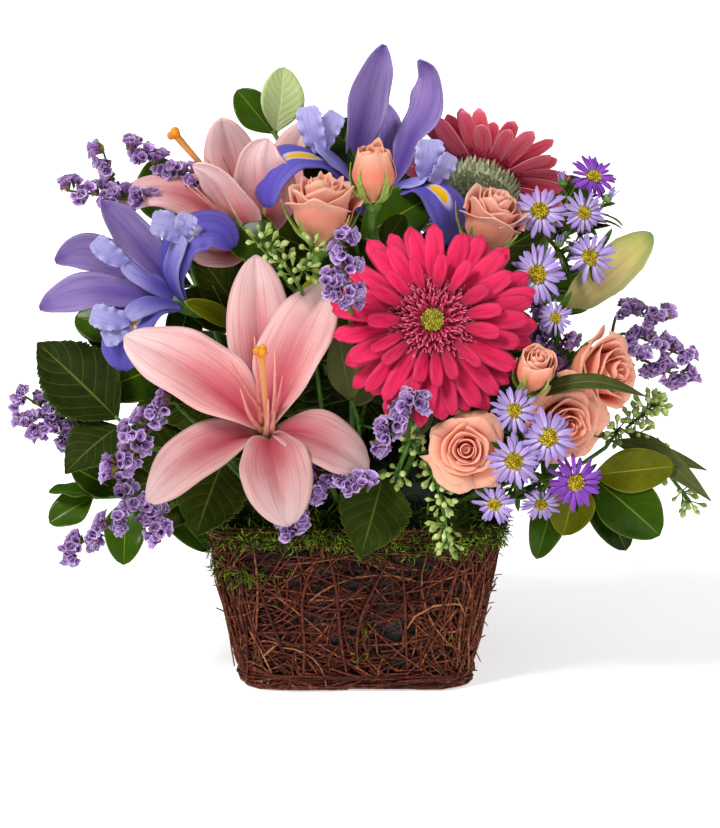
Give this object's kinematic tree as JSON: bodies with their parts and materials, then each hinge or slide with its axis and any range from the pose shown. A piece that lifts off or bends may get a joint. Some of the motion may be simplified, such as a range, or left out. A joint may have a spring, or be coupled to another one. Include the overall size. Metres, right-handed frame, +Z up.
{
  "type": "flower basket arrangement",
  "caption": "Mixed cut flowers and leaves standing in wet foam in a square twig basket with a moss collar.",
  "frame": {"origin": "middle of the basket's foot, on the surface that it stands on", "axes": "+Z up, -Y towards the side that the blooms face, +X to that viewer's right"},
  "size_m": [0.3601, 0.2706, 0.3383],
  "materials": {
    "twig": "rough",
    "liner": "matt",
    "foam": "matt, wet",
    "moss": "matt",
    "stem": "smooth",
    "lily_petal": "satin",
    "lily_pistil": "satin",
    "lily_bud": "satin",
    "iris_petal": "satin",
    "gerbera_ray": "satin",
    "gerbera_disc": "matt",
    "rose_petal": "satin",
    "aster": "matt",
    "statice": "matt",
    "eucalyptus": "matt",
    "rose_leaf": "satin",
    "glossy_leaf": "glossy"
  },
  "bodies": {
    "root": {"basket": "twig", "liner": "liner", "foam": "foam", "moss": "moss", "front_lily_stem": "stem", "back_lily_stem": "stem", "top_iris_stem": "stem", "left_iris_stem": "stem", "front_gerbera_stem": "stem", "back_gerbera_stem": "stem", "right_rose_stems": "stem", "top_rose_stems": "stem", "front_lily_petals": "lily_petal", "back_lily_petals": "lily_petal", "front_lily_pistil": "lily_pistil", "back_lily_pistil": "lily_pistil", "lily_bud": "lily_bud", "top_iris_petals": "iris_petal", "left_iris_petals": "iris_petal", "front_gerbera_rays": "gerbera_ray", "back_gerbera_rays": "gerbera_ray", "front_gerbera_disc": "gerbera_disc", "back_gerbera_disc": "gerbera_disc", "rose_front": "rose_petal", "rose_right": "rose_petal", "rose_right_high": "rose_petal", "rose_right_bud": "rose_petal", "rose_top_bud": "rose_petal", "rose_top": "rose_petal", "rose_behind": "rose_petal", "upper_asters": "aster", "lower_asters": "aster", "statice_top_left": "statice", "statice_left": "statice", "statice_left_middle": "statice", "statice_low_left": "statice", "statice_low": "statice", "statice_middle": "statice", "statice_centre": "statice", "statice_right": "statice", "back_statice": "statice", "seeds_centre": "eucalyptus", "seeds_front": "eucalyptus", "eucalyptus_right": "eucalyptus", "eucalyptus_middle": "eucalyptus", "rose_leaves_left": "rose_leaf", "rose_leaf_low_left": "rose_leaf", "rose_leaf_low": "rose_leaf", "back_leaves_low": "rose_leaf", "round_leaves_low_left": "glossy_leaf", "round_leaves_left": "glossy_leaf", "round_leaves_top_left": "glossy_leaf", "round_leaves_centre": "glossy_leaf", "round_leaves_top": "glossy_leaf", "round_leaves_low_right": "glossy_leaf", "back_leaves_left": "glossy_leaf", "back_leaves_right": "glossy_leaf", "back_leaves_middle": "glossy_leaf", "side_leaves_left": "glossy_leaf", "side_leaves_right": "glossy_leaf"}
  },
  "joints": []
}
